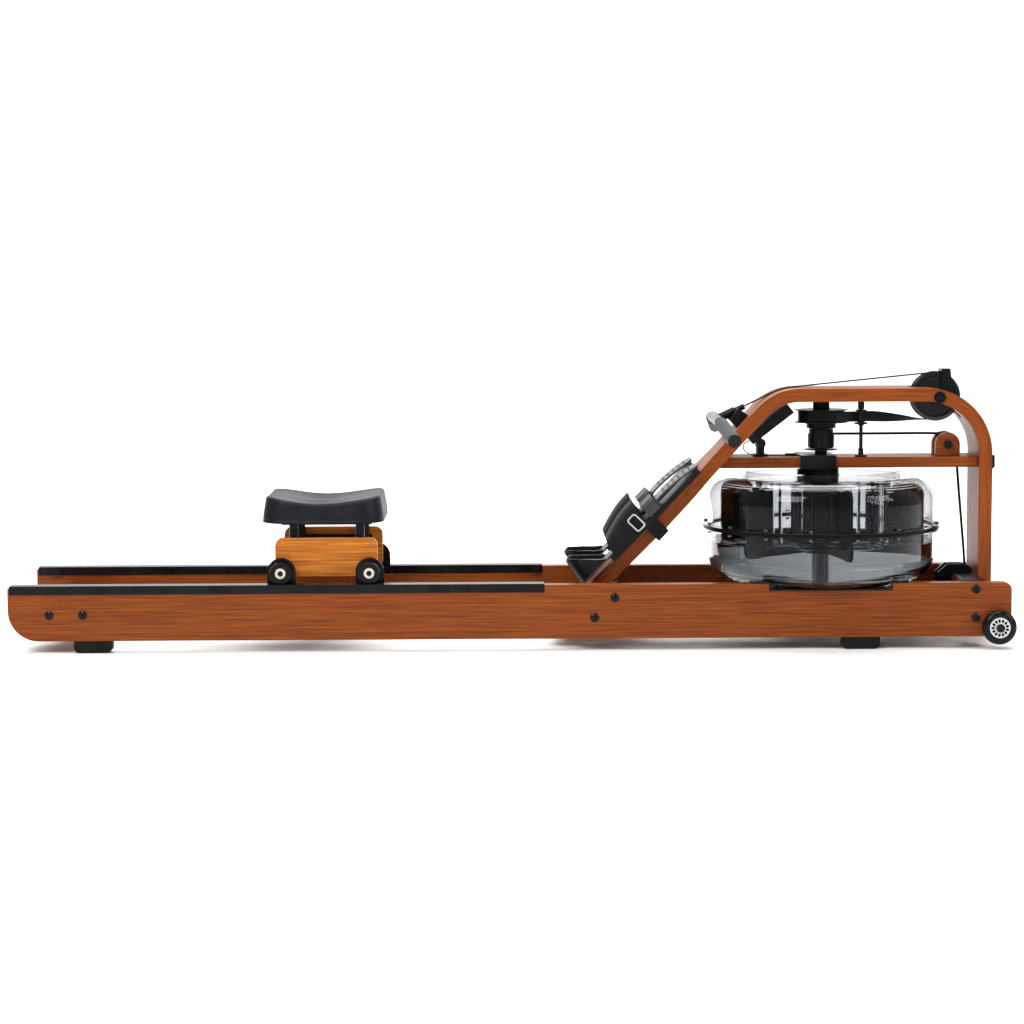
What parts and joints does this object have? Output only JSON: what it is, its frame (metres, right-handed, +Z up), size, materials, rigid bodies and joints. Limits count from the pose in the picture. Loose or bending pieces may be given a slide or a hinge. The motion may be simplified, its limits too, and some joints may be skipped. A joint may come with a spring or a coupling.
{
  "type": "rowing machine",
  "caption": "Water-resistance rowing machine: timber rails and bent arch, clear water tank, sliding seat on rollers, foot plates with straps, and a handle on a belt.",
  "frame": {"origin": "on the floor, under the middle of the machine's bounding box", "axes": "+X along the rails towards the tank, +Z up, -Y is the rower's right-hand side when facing the tank"},
  "size_m": [2.1, 0.5066, 0.5766],
  "materials": {
    "frame_wood": "oiled satin, open grain",
    "carriage_wood": "oiled satin, golden",
    "black_plastic": "fine moulded texture",
    "grey_plastic": "moulded, light grey",
    "black_metal": "satin black powder coat",
    "steel": "bright zinc",
    "rubber": "matte",
    "tyre": "urethane, satin",
    "seat_foam": "moulded skin foam",
    "grip_foam": "closed-cell foam",
    "clear_shell": "clear polycarbonate, faint grey tint",
    "smoke_shell": "smoke-tinted plastic",
    "water": "clear water",
    "webbing": "woven black belt",
    "cord": "braided elastic sleeve"
  },
  "bodies": {
    "frame": {"right_rail": "frame_wood", "left_rail": "frame_wood", "right_track": "black_metal", "left_track": "black_metal", "rear_crossmember": "frame_wood", "middle_crossmember": "frame_wood", "front_crossmember": "frame_wood", "arch": "frame_wood", "shelf": "frame_wood", "feet": "rubber", "frame_fasteners": "black_metal", "seat_stops": "black_plastic", "tank_saddles": "black_plastic", "front_bumper": "rubber", "tank_lower_shell": "clear_shell", "tank_upper_shell": "clear_shell", "tank_gasket": "rubber", "tank_bolts": "steel", "water": "water", "inner_reservoir": "smoke_shell", "shaft_bearings": "black_plastic", "idler_post": "black_metal", "pulley_axles": "steel", "belt_keeper": "black_metal", "drive_belt": "webbing", "pulley_cheeks": "frame_wood", "recoil_cord": "cord", "lower_pulley_housing": "black_plastic", "handle_rest": "black_plastic", "monitor_bracket": "black_metal", "monitor_lead": "cord", "foot_base": "black_plastic", "foot_straps": "webbing", "strap_buckles": "steel"},
    "seat_carriage": {"seat_pad": "seat_foam", "seat_chassis": "black_metal", "carriage_boards": "carriage_wood"},
    "rear_right_seat_wheel": {"seat_wheel_rear_right": "tyre"},
    "rear_left_seat_wheel": {"seat_wheel_rear_left": "tyre"},
    "front_right_seat_wheel": {"seat_wheel_front_right": "tyre"},
    "front_left_seat_wheel": {"seat_wheel_front_left": "tyre"},
    "handle": {"handle_bar": "black_metal", "handle_grips": "grip_foam", "pull_belt": "webbing"},
    "top_wheel": {"top_pulley": "black_plastic"},
    "spool": {"drive_spool": "black_plastic", "recoil_drum": "black_plastic"},
    "idler": {"idler_roller": "black_plastic"},
    "recoil_wheel": {"recoil_pulley": "black_plastic"},
    "lower_wheel": {"lower_pulley": "black_plastic"},
    "rotor": {"main_shaft": "steel", "impeller": "black_plastic"},
    "dial": {"level_dial": "black_plastic"},
    "right_heel": {"right_heel_slide": "grey_plastic"},
    "left_heel": {"left_heel_slide": "grey_plastic"},
    "right_roller": {"right_transport_wheel": "tyre"},
    "left_roller": {"left_transport_wheel": "tyre"},
    "monitor": {"monitor_case": "black_plastic"},
    "key_left": {"monitor_key_left": "grey_plastic"},
    "key_right": {"monitor_key_right": "grey_plastic"}
  },
  "joints": [
    {"name": "seat_slide", "type": "slide", "parent": "frame", "child": "seat_carriage", "axis": [1, 0, 0], "range_m": [-0.475, 0.305]},
    {"name": "rear_right_wheel_roll", "type": "hinge", "parent": "seat_carriage", "child": "rear_right_seat_wheel", "pos_m": [-0.482, -0.174, 0.1636], "axis": [0, 1, 0], "range_deg": [-1215, 782]},
    {"name": "rear_left_wheel_roll", "type": "hinge", "parent": "seat_carriage", "child": "rear_left_seat_wheel", "pos_m": [-0.482, 0.174, 0.1636], "axis": [0, 1, 0], "range_deg": [-1215, 782]},
    {"name": "front_right_wheel_roll", "type": "hinge", "parent": "seat_carriage", "child": "front_right_seat_wheel", "pos_m": [-0.297, -0.174, 0.1636], "axis": [0, 1, 0], "range_deg": [-1215, 782]},
    {"name": "front_left_wheel_roll", "type": "hinge", "parent": "seat_carriage", "child": "front_left_seat_wheel", "pos_m": [-0.297, 0.174, 0.1636], "axis": [0, 1, 0], "range_deg": [-1215, 782]},
    {"name": "handle_pull", "type": "slide", "parent": "frame", "child": "handle", "axis": [-1, 0, 0], "range_m": [0, 1.15], "stiffness_N_per_m": 12, "springref_m": -1},
    {"name": "spool_spin", "type": "hinge", "parent": "frame", "child": "spool", "pos_m": [0.665, 0, 0.4766], "axis": [0, 0, 1], "range_deg": [-3, 1308]},
    {"name": "top_pulley_spin", "type": "hinge", "parent": "frame", "child": "top_wheel", "pos_m": [0.9076, 0, 0.518], "axis": [0, 1, 0], "range_deg": [-1308, 3]},
    {"name": "idler_spin", "type": "hinge", "parent": "frame", "child": "idler", "pos_m": [0.745, -0.0412, 0.4766], "axis": [0, 0, 1], "range_deg": [-6939, 3]},
    {"name": "recoil_pulley_spin", "type": "hinge", "parent": "frame", "child": "recoil_wheel", "pos_m": [0.932, 0, 0.4155], "axis": [0, 1, 0], "range_deg": [-1851, 3]},
    {"name": "lower_pulley_spin", "type": "hinge", "parent": "frame", "child": "lower_wheel", "pos_m": [0.957, 0, 0.133], "axis": [0, 1, 0], "range_deg": [-2035, 3]},
    {"name": "impeller_spin", "type": "hinge", "parent": "frame", "child": "rotor", "pos_m": [0.665, 0, 0.2], "axis": [0, 0, 1], "continuous": true},
    {"name": "level_dial_turn", "type": "hinge", "parent": "frame", "child": "dial", "pos_m": [0.665, 0, 0.357], "axis": [0, 0, 1], "range_deg": [0, 270]},
    {"name": "right_heel_adjust", "type": "slide", "parent": "frame", "child": "right_heel", "axis": [0.6947, 0, 0.7193], "range_m": [-0.042, 0.028]},
    {"name": "left_heel_adjust", "type": "slide", "parent": "frame", "child": "left_heel", "axis": [0.6947, 0, 0.7193], "range_m": [-0.042, 0.028]},
    {"name": "right_transport_roll", "type": "hinge", "parent": "frame", "child": "right_roller", "pos_m": [1.014, -0.206, 0.046], "axis": [0, 1, 0], "continuous": true},
    {"name": "left_transport_roll", "type": "hinge", "parent": "frame", "child": "left_roller", "pos_m": [1.014, 0.206, 0.046], "axis": [0, 1, 0], "continuous": true},
    {"name": "monitor_tilt", "type": "hinge", "parent": "frame", "child": "monitor", "pos_m": [0.5343, 0, 0.4187], "axis": [0, 1, 0], "range_deg": [0, 6]},
    {"name": "left_key_press", "type": "slide", "parent": "monitor", "child": "key_left", "axis": [-0.6101, 0, 0.7923], "range_m": [0, 0.0012], "stiffness_N_per_m": 300, "springref_m": -0.002},
    {"name": "right_key_press", "type": "slide", "parent": "monitor", "child": "key_right", "axis": [-0.6101, 0, 0.7923], "range_m": [0, 0.0012], "stiffness_N_per_m": 300, "springref_m": -0.002}
  ],
  "couplings": [
    {"joint": "rear_right_wheel_roll", "follows": "seat_slide", "rad_per_m": 44.444},
    {"joint": "rear_left_wheel_roll", "follows": "seat_slide", "rad_per_m": 44.444},
    {"joint": "front_right_wheel_roll", "follows": "seat_slide", "rad_per_m": 44.444},
    {"joint": "front_left_wheel_roll", "follows": "seat_slide", "rad_per_m": 44.444},
    {"joint": "spool_spin", "follows": "handle_pull", "rad_per_m": 19.802},
    {"joint": "top_pulley_spin", "follows": "handle_pull", "rad_per_m": -19.802},
    {"joint": "idler_spin", "follows": "handle_pull", "rad_per_m": -105.26},
    {"joint": "recoil_pulley_spin", "follows": "handle_pull", "rad_per_m": -28.045},
    {"joint": "lower_pulley_spin", "follows": "handle_pull", "rad_per_m": -30.836}
  ]
}
